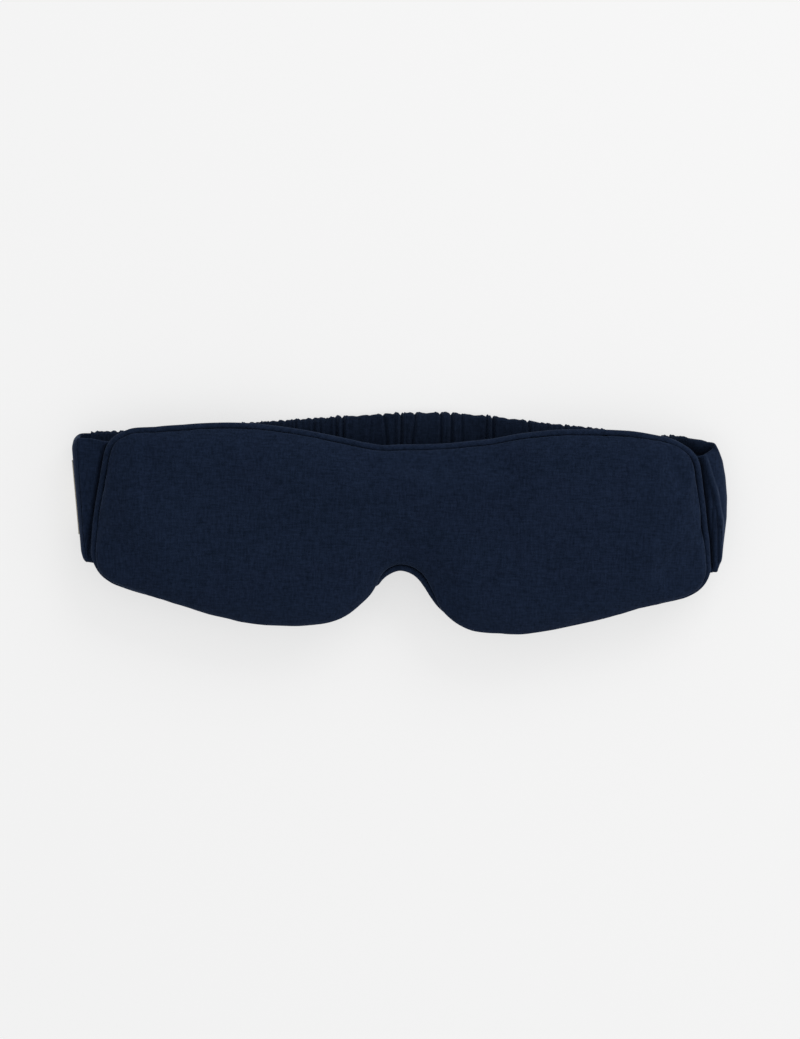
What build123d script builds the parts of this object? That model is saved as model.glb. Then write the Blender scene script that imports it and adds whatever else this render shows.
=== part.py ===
from build123d import *
from math import sqrt
import os

# Sleep eye mask, lying face up on its own folded strap.
# +X runs along the mask, +Y points to its top edge, +Z points away from the face side.
# Z = 0 is the surface that the strap lies on. All lengths are millimetres.

# ---- driving dimensions -------------------------------------------------------------

FOLDED_SPAN = 254.0        # over the two folds of the side tabs
FABRIC = 0.6               # one layer of knit fabric in a cover
PIPING_RADIUS = 1.3        # outside of the covered piping
PIPING_CORD_RADIUS = 0.8
SEAM_ALLOWANCE = 6.0       # width of fabric turned inwards at the perimeter seam

MASK_BACK = 9.4            # height of the face side above the surface
MASK_FRONT = 20.5          # height of the front's crown
FRONT_ROUND = 5.4          # how softly the front rolls down to the piping
BACK_ROUND = 2.4
LINING = 0.4
EASE = 0.1                 # play round a piece that lies loose inside another

TAB_WIDTH = 48.4
TAB_THICKNESS = 1.2        # fabric doubled over
TAB_IN_CASING = 8.0        # length of the tab's lower leaf inside the strap casing
TAB_SEAM_START = 104.0     # the tabs' sewn ends lie beyond this distance along X

STRAP_BOW = 10.3           # how far the strap's middle lies above its ends, along Y
CASING_WIDTH = 50.8
CASING_HEIGHT = 4.6
CASING_WALL = 1.0
CASING_END = 120.0         # distance of the casing's ends from the middle
CASING_ROUND = 1.8
ELASTIC_WIDTH = 44.6
ELASTIC_THICKNESS = 1.1
ELASTIC_END = 118.0

THREAD = 0.4
STITCH_LENGTH = 2.2        # along the seam
STITCH_PITCH = 3.5
JOIN_ROWS = (114.0, 116.6)  # distances of the strap joins' stitch rows from the middle
JOIN_WIDTH = 42.0          # length of each of those rows

LABEL_LENGTH = 28.6        # blank woven label under the left fold, along Y
LABEL_THICKNESS = 0.3
LABEL_RISE = 70.0          # degrees of the fold that the label wraps, from underneath
TACK_START = -38.0         # degrees round the fold, of the thread bar at each label end
TACK_TURN = 8.0
TACK_LENGTH = 1.0

# Right half of the outer edge: place and heading in degrees, round from the top middle
# to the top of the nose notch. Y is measured from the middle of the strap's ends.
HALF_OUTLINE = [
    ((0.0, 24.0), 0.0),        # dip over the nose
    ((40.0, 28.8), 9.0),
    ((73.0, 31.2), 0.0),       # crown of the brow
    ((101.0, 28.9), -10.0),
    ((115.0, 17.9), -80.0),    # outer top corner
    ((119.8, -20.6), -88.0),
    ((110.0, -33.6), -164.5),  # outer lower corner
    ((82.0, -41.6), -163.0),
    ((44.0, -48.6), -180.0),   # lowest point of the cheek lobe
    ((14.5, -38.6), -231.0),   # flank of the nose notch
    ((0.0, -25.7), -180.0),    # top of the nose notch
]

# ---- places worked out from them ----------------------------------------------------

LOBE_LOW = HALF_OUTLINE[8][0][1]
STRAP_HIGH = STRAP_BOW + CASING_WIDTH / 2
STRAP_Y = -(LOBE_LOW + STRAP_HIGH) / 2     # puts the middle of the whole at Y = 0

# The seam's layers, from the face side up: back cover, tab, piping, front cover, lining.
TAB_LOW = 11.5
TAB_HIGH = TAB_LOW + TAB_THICKNESS
FRONT_LOW = TAB_HIGH + 1.0                 # the piping's flange is two layers, 1 mm thick
LINING_LOW = FRONT_LOW + FABRIC
LINING_HIGH = LINING_LOW + LINING
PIPING_Z = TAB_HIGH + PIPING_RADIUS + EASE / 2

COVER_INSET = 2 * PIPING_RADIUS + EASE     # the covers start just inside the piping
FLANGE_INSET = COVER_INSET + SEAM_ALLOWANCE
FILL_INSET = COVER_INSET + FABRIC + EASE
SEAM_INSET = COVER_INSET + 1.6             # the line that the perimeter stitches follow

ELASTIC_LOW = CASING_WALL + EASE
LEAF_LOW = ELASTIC_LOW + ELASTIC_THICKNESS + EASE
FOLD_RADIUS = (TAB_LOW - LEAF_LOW) / 2     # of the tab's middle layer where it turns back
FOLD_X = FOLDED_SPAN / 2 - TAB_THICKNESS / 2 - FOLD_RADIUS
FOLD_Z = LEAF_LOW + TAB_THICKNESS / 2 + FOLD_RADIUS


# ---- outlines and plain shapes ------------------------------------------------------

def biarc(start, start_heading, end, end_heading):
    """Two arcs that meet smoothly and join two points at the given headings."""
    leave = Vector(1, 0).rotate(Axis.Z, start_heading)
    arrive = Vector(1, 0).rotate(Axis.Z, end_heading)
    across = end - start
    turn = 2 * (1 - leave.dot(arrive))
    ahead = across.dot(leave + arrive)
    if turn < 1e-9:
        reach = across.dot(across) / (2 * ahead)
    else:
        reach = (sqrt(ahead**2 + turn * across.dot(across)) - ahead) / turn
    first = start + leave * reach
    last = end - arrive * reach
    middle = (first + last) / 2
    return [
        TangentArc(start, middle, tangent=leave),
        TangentArc(middle, end, tangent=last - first),
    ]


def mask_outline():
    """The face inside the mask's outer edge, piping and all."""
    right = []
    for (start, heading), (end, end_heading) in zip(HALF_OUTLINE, HALF_OUTLINE[1:]):
        right += biarc(Vector(*start), heading, Vector(*end), end_heading)
    left = [mirror(arc, about=Plane.YZ) for arc in right]
    return Pos(0, STRAP_Y, 0) * make_face(right + left)


OUTLINE = mask_outline()


def slab(inset, low, high):
    """The mask's outline moved inwards by inset, as a solid from low to high."""
    return Pos(0, 0, low) * extrude(offset(OUTLINE, amount=-inset), amount=high - low)


def seam_ring(inset, low, high):
    """A flat ring of fabric from inset to the edge of the seam allowance."""
    return slab(inset, low, high) - slab(FLANGE_INSET, low, high)


def bowed_line(level, end):
    """The strap's gentle bow, from X = -end to X = end, at Y = level at its ends."""
    crown = Vector(0, level + STRAP_BOW)
    rise = biarc(Vector(-end, level), 0, crown, 0)
    fall = biarc(crown, 0, Vector(end, level), 0)
    return rise + fall


def band(width, end, low, high):
    """A length of the bowed strap, width wide, from low to high."""
    bottom = STRAP_Y - width / 2
    top = STRAP_Y + width / 2
    edges = bowed_line(bottom, end) + bowed_line(top, end)
    edges += [Line((x, bottom), (x, top)) for x in (-end, end)]
    return Pos(0, 0, low) * extrude(make_face(edges), amount=high - low)


def between(x_range, y_range, z_range):
    """A box between two values along each axis."""
    low, high = zip(x_range, y_range, z_range)
    size = [b - a for a, b in zip(low, high)]
    return Pos(*low) * Box(*size, align=Align.MIN)


def tab_zones(low, high):
    """The two boxes, from low to high, where the side tabs cross the seam."""
    y_range = (STRAP_Y - TAB_WIDTH / 2, STRAP_Y + TAB_WIDTH / 2)
    ends = [(-FOLDED_SPAN / 2, -TAB_SEAM_START), (TAB_SEAM_START, FOLDED_SPAN / 2)]
    return [between(x_range, y_range, (low, high)) for x_range in ends]


def round_top(solid, radius):
    return fillet(solid.edges().group_by(Axis.Z)[-1], radius)


def round_bottom(solid, radius):
    return fillet(solid.edges().group_by(Axis.Z)[0], radius)


# ---- the mask -----------------------------------------------------------------------

def front_cover():
    """Domed front panel, with its seam allowance turned inwards."""
    outer = round_top(slab(COVER_INSET, FRONT_LOW, MASK_FRONT), FRONT_ROUND)
    hollow = round_top(slab(COVER_INSET + FABRIC, FRONT_LOW, MASK_FRONT - FABRIC),
                       FRONT_ROUND - FABRIC)
    return outer - hollow + seam_ring(COVER_INSET, FRONT_LOW, LINING_LOW)


def back_cover():
    """Face-side panel. Its seam allowance steps down where a side tab is sewn in."""
    outer = round_bottom(slab(COVER_INSET, MASK_BACK, TAB_HIGH), BACK_ROUND)
    hollow = round_bottom(slab(COVER_INSET + FABRIC, MASK_BACK + FABRIC, TAB_HIGH),
                          BACK_ROUND - FABRIC)
    shell = outer - hollow + seam_ring(COVER_INSET, TAB_HIGH - FABRIC, TAB_HIGH)
    lower_ring = seam_ring(COVER_INSET, TAB_LOW - FABRIC, TAB_LOW)
    for step in tab_zones(TAB_LOW - FABRIC, TAB_LOW):
        shell += lower_ring & step
    for slot in tab_zones(TAB_LOW, TAB_HIGH):
        shell -= slot
    return shell


def front_wadding():
    top = MASK_FRONT - FABRIC - EASE
    return round_top(slab(FILL_INSET, LINING_HIGH + EASE, top), FRONT_ROUND - FABRIC)


def blackout_lining():
    return slab(FILL_INSET, LINING_LOW, LINING_HIGH)


def back_wadding():
    """Stepped pad: its brim fills the back under the seam allowance."""
    bottom = MASK_BACK + FABRIC + EASE
    brim = slab(FILL_INSET + BACK_ROUND, bottom, TAB_LOW - FABRIC - EASE)
    return brim + slab(FLANGE_INSET + EASE, bottom, LINING_LOW - EASE)


def ring_path():
    """The line that the piping's middle follows, round the whole mask."""
    plan = Pos(0, 0, PIPING_Z) * offset(OUTLINE, amount=-PIPING_RADIUS)
    return plan.face().outer_wire()


def round_bead(radius):
    path = ring_path()
    return sweep(path.location_at(0) * Circle(radius), path=path)


def piping_cord():
    return round_bead(PIPING_CORD_RADIUS - EASE / 2)


def piping_cover():
    """Bias strip wrapped round the cord, its two edges making the flange."""
    flange = seam_ring(2 * PIPING_RADIUS - FABRIC / 2, TAB_HIGH, FRONT_LOW)
    return round_bead(PIPING_RADIUS) - round_bead(PIPING_CORD_RADIUS) + flange


# ---- the side tabs and the strap ----------------------------------------------------

def tab(side):
    """Strip that leaves the seam, turns back under the mask and enters the casing."""
    leaf_middle = FOLD_Z - FOLD_RADIUS
    seam_middle = FOLD_Z + FOLD_RADIUS
    middle_line = Line((TAB_SEAM_START, seam_middle), (FOLD_X, seam_middle))
    middle_line += CenterArc((FOLD_X, FOLD_Z), FOLD_RADIUS, 90, -180)
    middle_line += Line((FOLD_X, leaf_middle), (CASING_END - TAB_IN_CASING, leaf_middle))
    section = Plane.XZ * trace(middle_line, line_width=TAB_THICKNESS)
    strip = Pos(0, STRAP_Y, 0) * extrude(section, amount=TAB_WIDTH / 2, both=True)
    strip -= slab(FLANGE_INSET, TAB_LOW - EASE, TAB_HIGH + EASE)
    if side < 0:
        strip = mirror(strip, about=Plane.YZ)
    return strip - join_stitches(side, EASE)


def wrapped_strip(radius, thickness, start, turn, length):
    """Strip of cloth round the left fold: from start degrees, turn degrees further."""
    arc = CenterArc((FOLD_X, FOLD_Z), radius + thickness / 2, start, turn)
    strip = extrude(Plane.XZ * trace(arc, line_width=thickness), amount=length / 2, both=True)
    return mirror(Pos(0, STRAP_Y, 0) * strip, about=Plane.YZ)


def blank_label():
    """Plain woven label, sewn on under the left fold."""
    outside = FOLD_RADIUS + TAB_THICKNESS / 2
    return wrapped_strip(outside, LABEL_THICKNESS, -90, LABEL_RISE, LABEL_LENGTH)


def label_tacks():
    """A short bar of thread at each end of the label, sewn into the tab."""
    bar = wrapped_strip(FOLD_RADIUS, TAB_THICKNESS / 2 + 2 * LABEL_THICKNESS,
                        TACK_START, TACK_TURN, TACK_LENGTH)
    shift = LABEL_LENGTH / 2 - TACK_LENGTH
    return Compound(children=[Pos(0, -shift, 0) * bar, Pos(0, shift, 0) * bar])


def strap_casing():
    """Flat fabric tube. It is gathered along its length when the elastic is slack."""
    tube = band(CASING_WIDTH, CASING_END, 0, CASING_HEIGHT)
    long_edges = tube.edges().filter_by(GeomType.CIRCLE)
    tube = fillet(long_edges, CASING_ROUND)
    inside = band(CASING_WIDTH - 2 * CASING_WALL, CASING_END + EASE,
                  CASING_WALL, CASING_HEIGHT - CASING_WALL)
    return tube - inside


def strap_elastic():
    return band(ELASTIC_WIDTH, ELASTIC_END, ELASTIC_LOW, ELASTIC_LOW + ELASTIC_THICKNESS)


# ---- thread -------------------------------------------------------------------------

def spread(length, pitch):
    """Evenly spaced places along a length, about a pitch apart, clear of its ends."""
    count = round(length / pitch)
    return [(i + 0.5) / count for i in range(count)]


def perimeter_seam_stitches():
    """Loops of thread through every layer of the perimeter seam."""
    seam = offset(OUTLINE, amount=-SEAM_INSET).face().outer_wire()
    stitches = []
    for place in spread(seam.length, STITCH_PITCH):
        spot = seam.location_at(place)
        crosses_tab = (abs(spot.position.X) > TAB_SEAM_START
                       and abs(spot.position.Y - STRAP_Y) < TAB_WIDTH / 2)
        low = (TAB_LOW if crosses_tab else TAB_HIGH) - FABRIC
        height = LINING_HIGH - low
        loop = Box(THREAD, height, STITCH_LENGTH)
        stitches.append(Pos(0, 0, low + height / 2) * spot * loop)
    return Compound(children=stitches)


def casing_seam_stitches():
    """Thread that closes the casing into a tube, along its lower edge."""
    level = STRAP_Y - CASING_WIDTH / 2 + CASING_WALL / 2
    seam = Wire(bowed_line(level, CASING_END))
    stitches = []
    for place in spread(seam.length, STITCH_PITCH):
        loop = Box(THREAD, CASING_HEIGHT / 2, STITCH_LENGTH)
        stitches.append(Pos(0, 0, CASING_HEIGHT / 2) * seam.location_at(place) * loop)
    return Compound(children=stitches)


def join_stitches(side, play=0.0):
    """Rows of thread that hold the casing, a tab and the elastic together."""
    inset = CASING_WALL / 2
    height = CASING_HEIGHT - 2 * inset + 2 * play
    stitches = []
    for row in JOIN_ROWS:
        for place in spread(JOIN_WIDTH, STITCH_PITCH):
            spot = Pos(side * row, STRAP_Y + (place - 0.5) * JOIN_WIDTH, CASING_HEIGHT / 2)
            loop = Box(THREAD + 2 * play, STITCH_LENGTH + 2 * play, height)
            stitches.append(spot * loop)
    return Compound(children=stitches)


# ---- one file for each piece --------------------------------------------------------

def all_parts():
    yield "front_cover", front_cover()
    yield "front_wadding", front_wadding()
    yield "blackout_lining", blackout_lining()
    yield "back_wadding", back_wadding()
    yield "back_cover", back_cover()
    yield "piping_cover", piping_cover()
    yield "piping_cord", piping_cord()
    yield "perimeter_seam_stitches", perimeter_seam_stitches()
    yield "strap_casing", strap_casing()
    yield "strap_elastic", strap_elastic()
    yield "casing_seam_stitches", casing_seam_stitches()
    for name, side in (("left", -1), ("right", 1)):
        yield f"{name}_tab", tab(side)
        yield f"{name}_join_stitches", join_stitches(side)
    yield "blank_label", blank_label()
    yield "label_tacks", label_tacks()


os.makedirs("parts", exist_ok=True)
for part_name, part in all_parts():
    export_step(part, f"parts/{part_name}.step")
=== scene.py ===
import math

import bpy
import numpy as np
from mathutils import Matrix, Vector


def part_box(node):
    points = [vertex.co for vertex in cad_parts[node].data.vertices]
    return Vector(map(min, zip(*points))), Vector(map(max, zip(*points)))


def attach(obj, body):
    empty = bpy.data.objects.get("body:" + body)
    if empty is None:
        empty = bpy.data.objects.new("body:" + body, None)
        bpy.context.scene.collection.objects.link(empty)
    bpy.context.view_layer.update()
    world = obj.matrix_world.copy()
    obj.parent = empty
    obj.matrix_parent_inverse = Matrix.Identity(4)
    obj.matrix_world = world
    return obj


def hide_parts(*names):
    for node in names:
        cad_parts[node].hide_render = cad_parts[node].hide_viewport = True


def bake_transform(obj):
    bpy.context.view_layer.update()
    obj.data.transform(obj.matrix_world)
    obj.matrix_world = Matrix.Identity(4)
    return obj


# A sleep eye mask lying face up on its folded strap. Shapes are worked out in millimetres,
# in the frame's axes, and turned into metres when a piece is made.

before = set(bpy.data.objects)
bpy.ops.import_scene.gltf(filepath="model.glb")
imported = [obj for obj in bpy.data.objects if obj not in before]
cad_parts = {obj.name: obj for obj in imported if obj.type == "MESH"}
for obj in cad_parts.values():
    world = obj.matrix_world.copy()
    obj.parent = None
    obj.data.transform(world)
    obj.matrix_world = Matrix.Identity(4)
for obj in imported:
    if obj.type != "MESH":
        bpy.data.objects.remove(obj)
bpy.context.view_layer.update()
MM = 0.001


def node_box(node):
    """A CAD node's lowest and highest corner, in millimetres."""
    return [np.array(corner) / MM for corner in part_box(node)]


TAB_LOW, TAB_HIGH = node_box("right_tab")
CASING_HIGH = node_box("strap_casing")[1]
BACK_LOW = node_box("back_cover")[0]
BEAD_HIGH = node_box("piping_cover")[1]
ELASTIC_LOW, ELASTIC_HIGH = node_box("strap_elastic")

STRAP_Y = (TAB_LOW[1] + TAB_HIGH[1]) / 2      # middle of the strap's ends
BACK = BACK_LOW[2]
BEAD = (BEAD_HIGH[2] - TAB_HIGH[2]) / 2        # radius of the piping
BEAD_Z = BEAD_HIGH[2] - BEAD
SEAM_DROP = 1.1                   # of the seam under the piping's middle
SEAM_Z = BEAD_Z - SEAM_DROP
SEAM_GAP = 0.2                    # between the piping and the seam line
SEAM_INSET = 2 * BEAD + SEAM_GAP

# ---- small helpers ------------------------------------------------------------------


def direction(angle):
    return np.stack([np.cos(angle), np.sin(angle)], axis=-1)


def smoothstep(x, low, high):
    t = np.clip((x - low) / (high - low), 0, 1)
    return t * t * (3 - 2 * t)


def bell(x, middle, width):
    return np.exp(-(((x - middle) / width) ** 2))


def wander(rng, x, reach, count=5):
    """A smooth random line through x, within about 1 of nothing, that varies over reach."""
    total = np.zeros_like(np.asarray(x, float))
    for _ in range(count):
        total += np.sin(x / reach * rng.uniform(0.6, 2.2) + rng.uniform(0, 2 * math.pi))
    return total / count * 1.6


def catmull_rom(points, count):
    """count points, evenly spaced, on a smooth curve through the given ones."""
    points = np.asarray(points, float)
    ends = np.vstack([2 * points[0] - points[1], points, 2 * points[-1] - points[-2]])
    t = np.linspace(0, 1, 12, endpoint=False)[:, None]
    runs = []
    for a, b, c, d in zip(ends, ends[1:], ends[2:], ends[3:]):
        runs.append(0.5 * (2 * b + (c - a) * t + (2 * a - 5 * b + 4 * c - d) * t**2
                           + (3 * b - a - 3 * c + d) * t**3))
    return resample(np.vstack(runs + [points[-1:]]), count)


def resample(points, count):
    """count points at equal distances along a line of points."""
    steps = np.linalg.norm(np.diff(points, axis=0), axis=1)
    along = np.concatenate([[0], np.cumsum(steps)])
    wanted = np.linspace(0, along[-1], count)
    return np.stack([np.interp(wanted, along, column) for column in points.T], axis=1)


def grid_faces(rows, columns, around=False, flip=False, first=0):
    """Quads between the points of a grid, whose columns join up where it goes around."""
    faces = []
    for r in range(rows - 1):
        for c in range(columns if around else columns - 1):
            d = (c + 1) % columns
            quad = [r * columns + c, r * columns + d, (r + 1) * columns + d, (r + 1) * columns + c]
            faces.append([first + i for i in (quad[::-1] if flip else quad)])
    return faces


def make_mesh(name, points, faces, material, levels=1):
    """A smooth shaded object from points in millimetres."""
    mesh = bpy.data.meshes.new(name)
    mesh.from_pydata((np.asarray(points) * MM).tolist(), [], faces)
    mesh.validate()
    mesh.polygons.foreach_set("use_smooth", [True] * len(mesh.polygons))
    mesh.materials.append(material)
    piece = bpy.data.objects.new(name, mesh)
    bpy.context.scene.collection.objects.link(piece)
    if levels:
        smooth = piece.modifiers.new("smooth", "SUBSURF")
        smooth.levels = smooth.render_levels = levels
    return piece


def grid_normals(points):
    """Unit normals of a grid of points, shaped rows by columns by 3."""
    along_rows = np.gradient(points, axis=0)
    along_columns = np.gradient(points, axis=1)
    normals = np.cross(along_rows, along_columns)
    return normals / np.maximum(np.linalg.norm(normals, axis=2, keepdims=True), 1e-9)


# ---- materials ----------------------------------------------------------------------


def node(tree, kind, **values):
    """A shader node. Values name its properties, or its inputs where it has no such one."""
    made = tree.nodes.new(kind)
    for key, value in values.items():
        if hasattr(made, key):
            setattr(made, key, value)
        else:
            made.inputs[key.replace("_", " ")].default_value = value
    return made


def cloth_material(name, dark, light, thread, slant=0.0, rough=0.9, sheen=0.12, depth=0.6):
    """Fine cloth: crossed yarns of a thread's width, slubs along both, fuzz, and slow
    changes of tone."""
    material = bpy.data.materials.new(name)
    material.use_nodes = True
    tree = material.node_tree
    link = tree.links.new
    shader = tree.nodes["Principled BSDF"]
    shader.inputs["Roughness"].default_value = rough
    shader.inputs["Specular IOR Level"].default_value = 0.06
    shader.inputs["Sheen Weight"].default_value = sheen
    shader.inputs["Sheen Roughness"].default_value = 0.4
    shader.inputs["Sheen Tint"].default_value = (0.45, 0.62, 1.0, 1)

    place = node(tree, "ShaderNodeTexCoord")
    turn = node(tree, "ShaderNodeMapping", vector_type="POINT")
    turn.inputs["Rotation"].default_value = (0, 0, slant)
    link(place.outputs["Object"], turn.inputs["Vector"])

    def noise(scale, stretch=(1, 1, 1), detail=2.0, rough=0.6):
        squeeze = node(tree, "ShaderNodeMapping", vector_type="POINT")
        squeeze.inputs["Scale"].default_value = stretch
        link(turn.outputs["Vector"], squeeze.inputs["Vector"])
        made = node(tree, "ShaderNodeTexNoise", Scale=scale, Detail=detail, Roughness=rough)
        link(squeeze.outputs["Vector"], made.inputs["Vector"])
        return made.outputs["Fac"]

    def yarn(axis):
        wave = node(tree, "ShaderNodeTexWave", wave_type="BANDS", bands_direction=axis)
        wave.inputs["Scale"].default_value = math.pi / (10 * thread * MM)
        wave.inputs["Distortion"].default_value = 1.6
        wave.inputs["Detail"].default_value = 1.0
        wave.inputs["Detail Scale"].default_value = 0.35
        link(turn.outputs["Vector"], wave.inputs["Vector"])
        return wave.outputs["Fac"]

    def blended(parts):
        """The sum of the values, each times its own weight."""
        total = None
        for value, weight in parts:
            term = node(tree, "ShaderNodeMath", operation="MULTIPLY_ADD")
            term.inputs[1].default_value = weight
            term.inputs[2].default_value = 0.0
            link(value, term.inputs[0])
            if total is not None:
                link(total, term.inputs[2])
            total = term.outputs["Value"]
        return total

    weft, warp = yarn("X"), yarn("Y")
    slubs = [noise(0.62 / (thread * MM), stretch) for stretch in ((0.2, 1, 1), (1, 0.2, 1))]
    fuzz = noise(1.3 / (thread * MM), detail=3.0, rough=0.75)
    tone = noise(30.0, detail=3.0, rough=0.6)
    shade = blended([(weft, 0.12), (warp, 0.12), (slubs[0], 0.75), (slubs[1], 0.75),
                     (fuzz, 0.7), (tone, 0.2)])
    ramp = node(tree, "ShaderNodeValToRGB")
    ramp.color_ramp.elements[0].position = 0.0
    ramp.color_ramp.elements[0].color = (*dark, 1)
    ramp.color_ramp.elements[1].position = 1.0
    ramp.color_ramp.elements[1].color = (*light, 1)
    spread = node(tree, "ShaderNodeMapRange")
    spread.inputs["From Min"].default_value = 1.02
    spread.inputs["From Max"].default_value = 1.62
    link(shade, spread.inputs["Value"])
    link(spread.outputs["Result"], ramp.inputs["Fac"])
    link(ramp.outputs["Color"], shader.inputs["Base Color"])

    bump = node(tree, "ShaderNodeBump")
    bump.inputs["Strength"].default_value = depth
    bump.inputs["Distance"].default_value = 0.14 * MM
    link(blended([(weft, 0.5), (warp, 0.5), (slubs[0], 0.6), (slubs[1], 0.6), (fuzz, 0.8)]),
         bump.inputs["Height"])
    link(bump.outputs["Normal"], shader.inputs["Normal"])
    return material


NAVY_DARK, NAVY_LIGHT = (0.0022, 0.0058, 0.0150), (0.0098, 0.0180, 0.0420)
STRAP_DARK, STRAP_LIGHT = (0.0018, 0.0046, 0.0115), (0.0078, 0.0142, 0.0320)

panel_cloth = cloth_material("panel_cloth", NAVY_DARK, NAVY_LIGHT, 0.42)
piping_cloth = cloth_material("piping_cloth", NAVY_DARK, NAVY_LIGHT, 0.40, slant=math.pi / 4)
tab_cloth = cloth_material("tab_cloth", NAVY_DARK, NAVY_LIGHT, 0.42)
strap_cloth = cloth_material("strap_cloth", STRAP_DARK, STRAP_LIGHT, 0.40)
elastic_web = cloth_material("elastic_web", (0.006, 0.008, 0.012), (0.02, 0.024, 0.03), 0.9)
label_cloth = cloth_material("label_cloth", (0.55, 0.50, 0.40), (0.75, 0.70, 0.60), 0.25)
thread_navy = cloth_material("thread_navy", (0.002, 0.003, 0.006), (0.012, 0.018, 0.03), 0.15,
                             slant=0.6, rough=0.6)

# ---- the mask's outline -------------------------------------------------------------

# Right half of the outer edge, as in the CAD part: place, and heading in degrees.
HALF_OUTLINE = [
    ((0.0, 24.0), 0.0), ((40.0, 28.8), 9.0), ((73.0, 31.2), 0.0), ((101.0, 28.9), -10.0),
    ((115.0, 17.9), -80.0), ((119.8, -20.6), -88.0), ((110.0, -33.6), -164.5),
    ((82.0, -41.6), -163.0), ((44.0, -48.6), -180.0), ((14.5, -38.6), -231.0),
    ((0.0, -25.7), -180.0),
]
OUTLINE_STEP = 0.5
TOP_CORNER, LOW_CORNER = 3.5, 5.5  # stations of the panel grid's right corners

# How far the real edge lies outside the even outline, at stations that count the outline's
# points from the top middle.
UNEVEN_RIGHT = (
    [0, 0.25, 0.55, 0.85, 1.1, 1.6, 2.0, 2.5, 3.0, 3.6, 4.6, 5.05, 5.4, 5.8, 6.35, 6.6, 7.0,
     7.55, 8.1, 8.5, 9.0, 9.4, 10.0],
    [0.2, 0.1, -0.4, -0.8, -0.2, 0.35, 0.4, 0.75, 0.5, 0.0, 0.0, 1.0, 1.1, 0.6, 0.9, 0.4, 0.0,
     -0.45, 0.0, 0.6, 0.8, -0.1, -0.6])
UNEVEN_LEFT = (
    [0, 0.2, 0.5, 0.9, 1.2, 1.6, 2.0, 2.4, 2.8, 3.2, 3.6, 5.8, 6.2, 6.4, 6.6, 7.2, 7.6,
     8.0, 8.4, 8.9, 9.2, 9.5, 9.7, 10.0],
    [0.2, -0.6, 0.0, 0.4, 0.3, 0.2, -0.3, -0.9, -1.0, 0.0, 0.1, 0.2, 1.0, 1.2, 0.8, 0.0, -0.6,
     -1.1, -0.9, -0.5, 0.5, 1.6, 0.8, -0.6])

# How far the piping is rolled under the panel's lower edge, from 0 to 1, at stations that
# count the outline's points from the top middle.
TUCK_RIGHT = ([0, 4.7, 5.0, 5.4, 5.8, 6.1, 6.5, 6.8, 7.2, 8.0, 8.5, 8.8, 9.2, 9.6, 10.0],
              [0, 0.0, 0.1, 0.32, 0.34, 0.4, 0.55, 0.75, 0.95, 1.1, 1.0, 0.6, 0.2, 0.02, 0.0])
TUCK_LEFT = ([0, 4.7, 5.0, 5.4, 5.8, 6.1, 6.5, 6.8, 7.2, 8.0, 9.2, 9.5, 9.8, 10.0],
             [0, 0.0, 0.1, 0.32, 0.34, 0.4, 0.55, 0.75, 0.95, 1.1, 1.0, 0.5, 0.08, 0.0])
TUCK_IN = 1.6
TUCK_DOWN = 2.0
TOP_OVERHANG = 0.75               # of the panel over the piping, along the top edge


def arc(start, heading, end):
    """Points along the arc that leaves start at a heading and reaches end, without end."""
    chord = end - start
    length = np.linalg.norm(chord)
    half_turn = (math.atan2(chord[1], chord[0]) - heading + math.pi) % (2 * math.pi) - math.pi
    count = max(2, round(length / OUTLINE_STEP))
    t = np.arange(count) / count
    share = t if abs(half_turn) < 1e-6 else np.sin(half_turn * t) / math.sin(half_turn)
    return start + length * share[:, None] * direction(heading + half_turn * t)


def biarc(start, heading, end, end_heading):
    """Points along two arcs that meet smoothly, between two points and headings."""
    leave, arrive = direction(heading), direction(end_heading)
    across = end - start
    turn = 2 * (1 - leave @ arrive)
    ahead = across @ (leave + arrive)
    if turn < 1e-9:
        reach = across @ across / (2 * ahead)
    else:
        reach = (math.sqrt(ahead**2 + turn * (across @ across)) - ahead) / turn
    first, last = start + leave * reach, end - arrive * reach
    middle = (first + last) / 2
    onward = math.atan2(*(last - first)[::-1])
    return np.vstack([arc(start, heading, middle), arc(middle, onward, end)])


def whole_outline():
    """Evenly spaced points round the mask, clockwise from the top middle, how much the
    piping is tucked in at each, and how far round the panel grid's right corners are."""
    points, stations = [], []
    for k, ((a, ha), (b, hb)) in enumerate(zip(HALF_OUTLINE, HALF_OUTLINE[1:])):
        run = biarc(np.array(a), math.radians(ha), np.array(b), math.radians(hb))
        points.append(run)
        stations.append(k + np.arange(len(run)) / len(run))
    right, station = np.vstack(points), np.concatenate(stations)
    last = np.array([HALF_OUTLINE[-1][0]])
    left, left_station = right[:0:-1] * (-1, 1), station[:0:-1]
    line = np.vstack([right, last, left, right[:1]])
    tuck = np.concatenate([np.interp(station, *TUCK_RIGHT), [TUCK_RIGHT[1][-1]],
                           np.interp(left_station, *TUCK_LEFT), [0.0]])
    uneven = np.concatenate([np.interp(station, *UNEVEN_RIGHT), [UNEVEN_RIGHT[1][-1]],
                             np.interp(left_station, *UNEVEN_LEFT), [UNEVEN_LEFT[1][0]]])
    ahead = np.gradient(line, axis=0)
    ahead /= np.linalg.norm(ahead, axis=1, keepdims=True)
    line = line + np.stack([-ahead[:, 1], ahead[:, 0]], axis=1) * uneven[:, None]
    count = round(np.linalg.norm(np.diff(line, axis=0), axis=1).sum() / OUTLINE_STEP)
    whole = resample(np.column_stack([line + (0, STRAP_Y), tuck]), count + 1)[:-1]
    marks = {s: np.argmin(np.abs(station - s)) / len(line) for s in (TOP_CORNER, LOW_CORNER)}
    return whole[:, :2], whole[:, 2], marks


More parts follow.
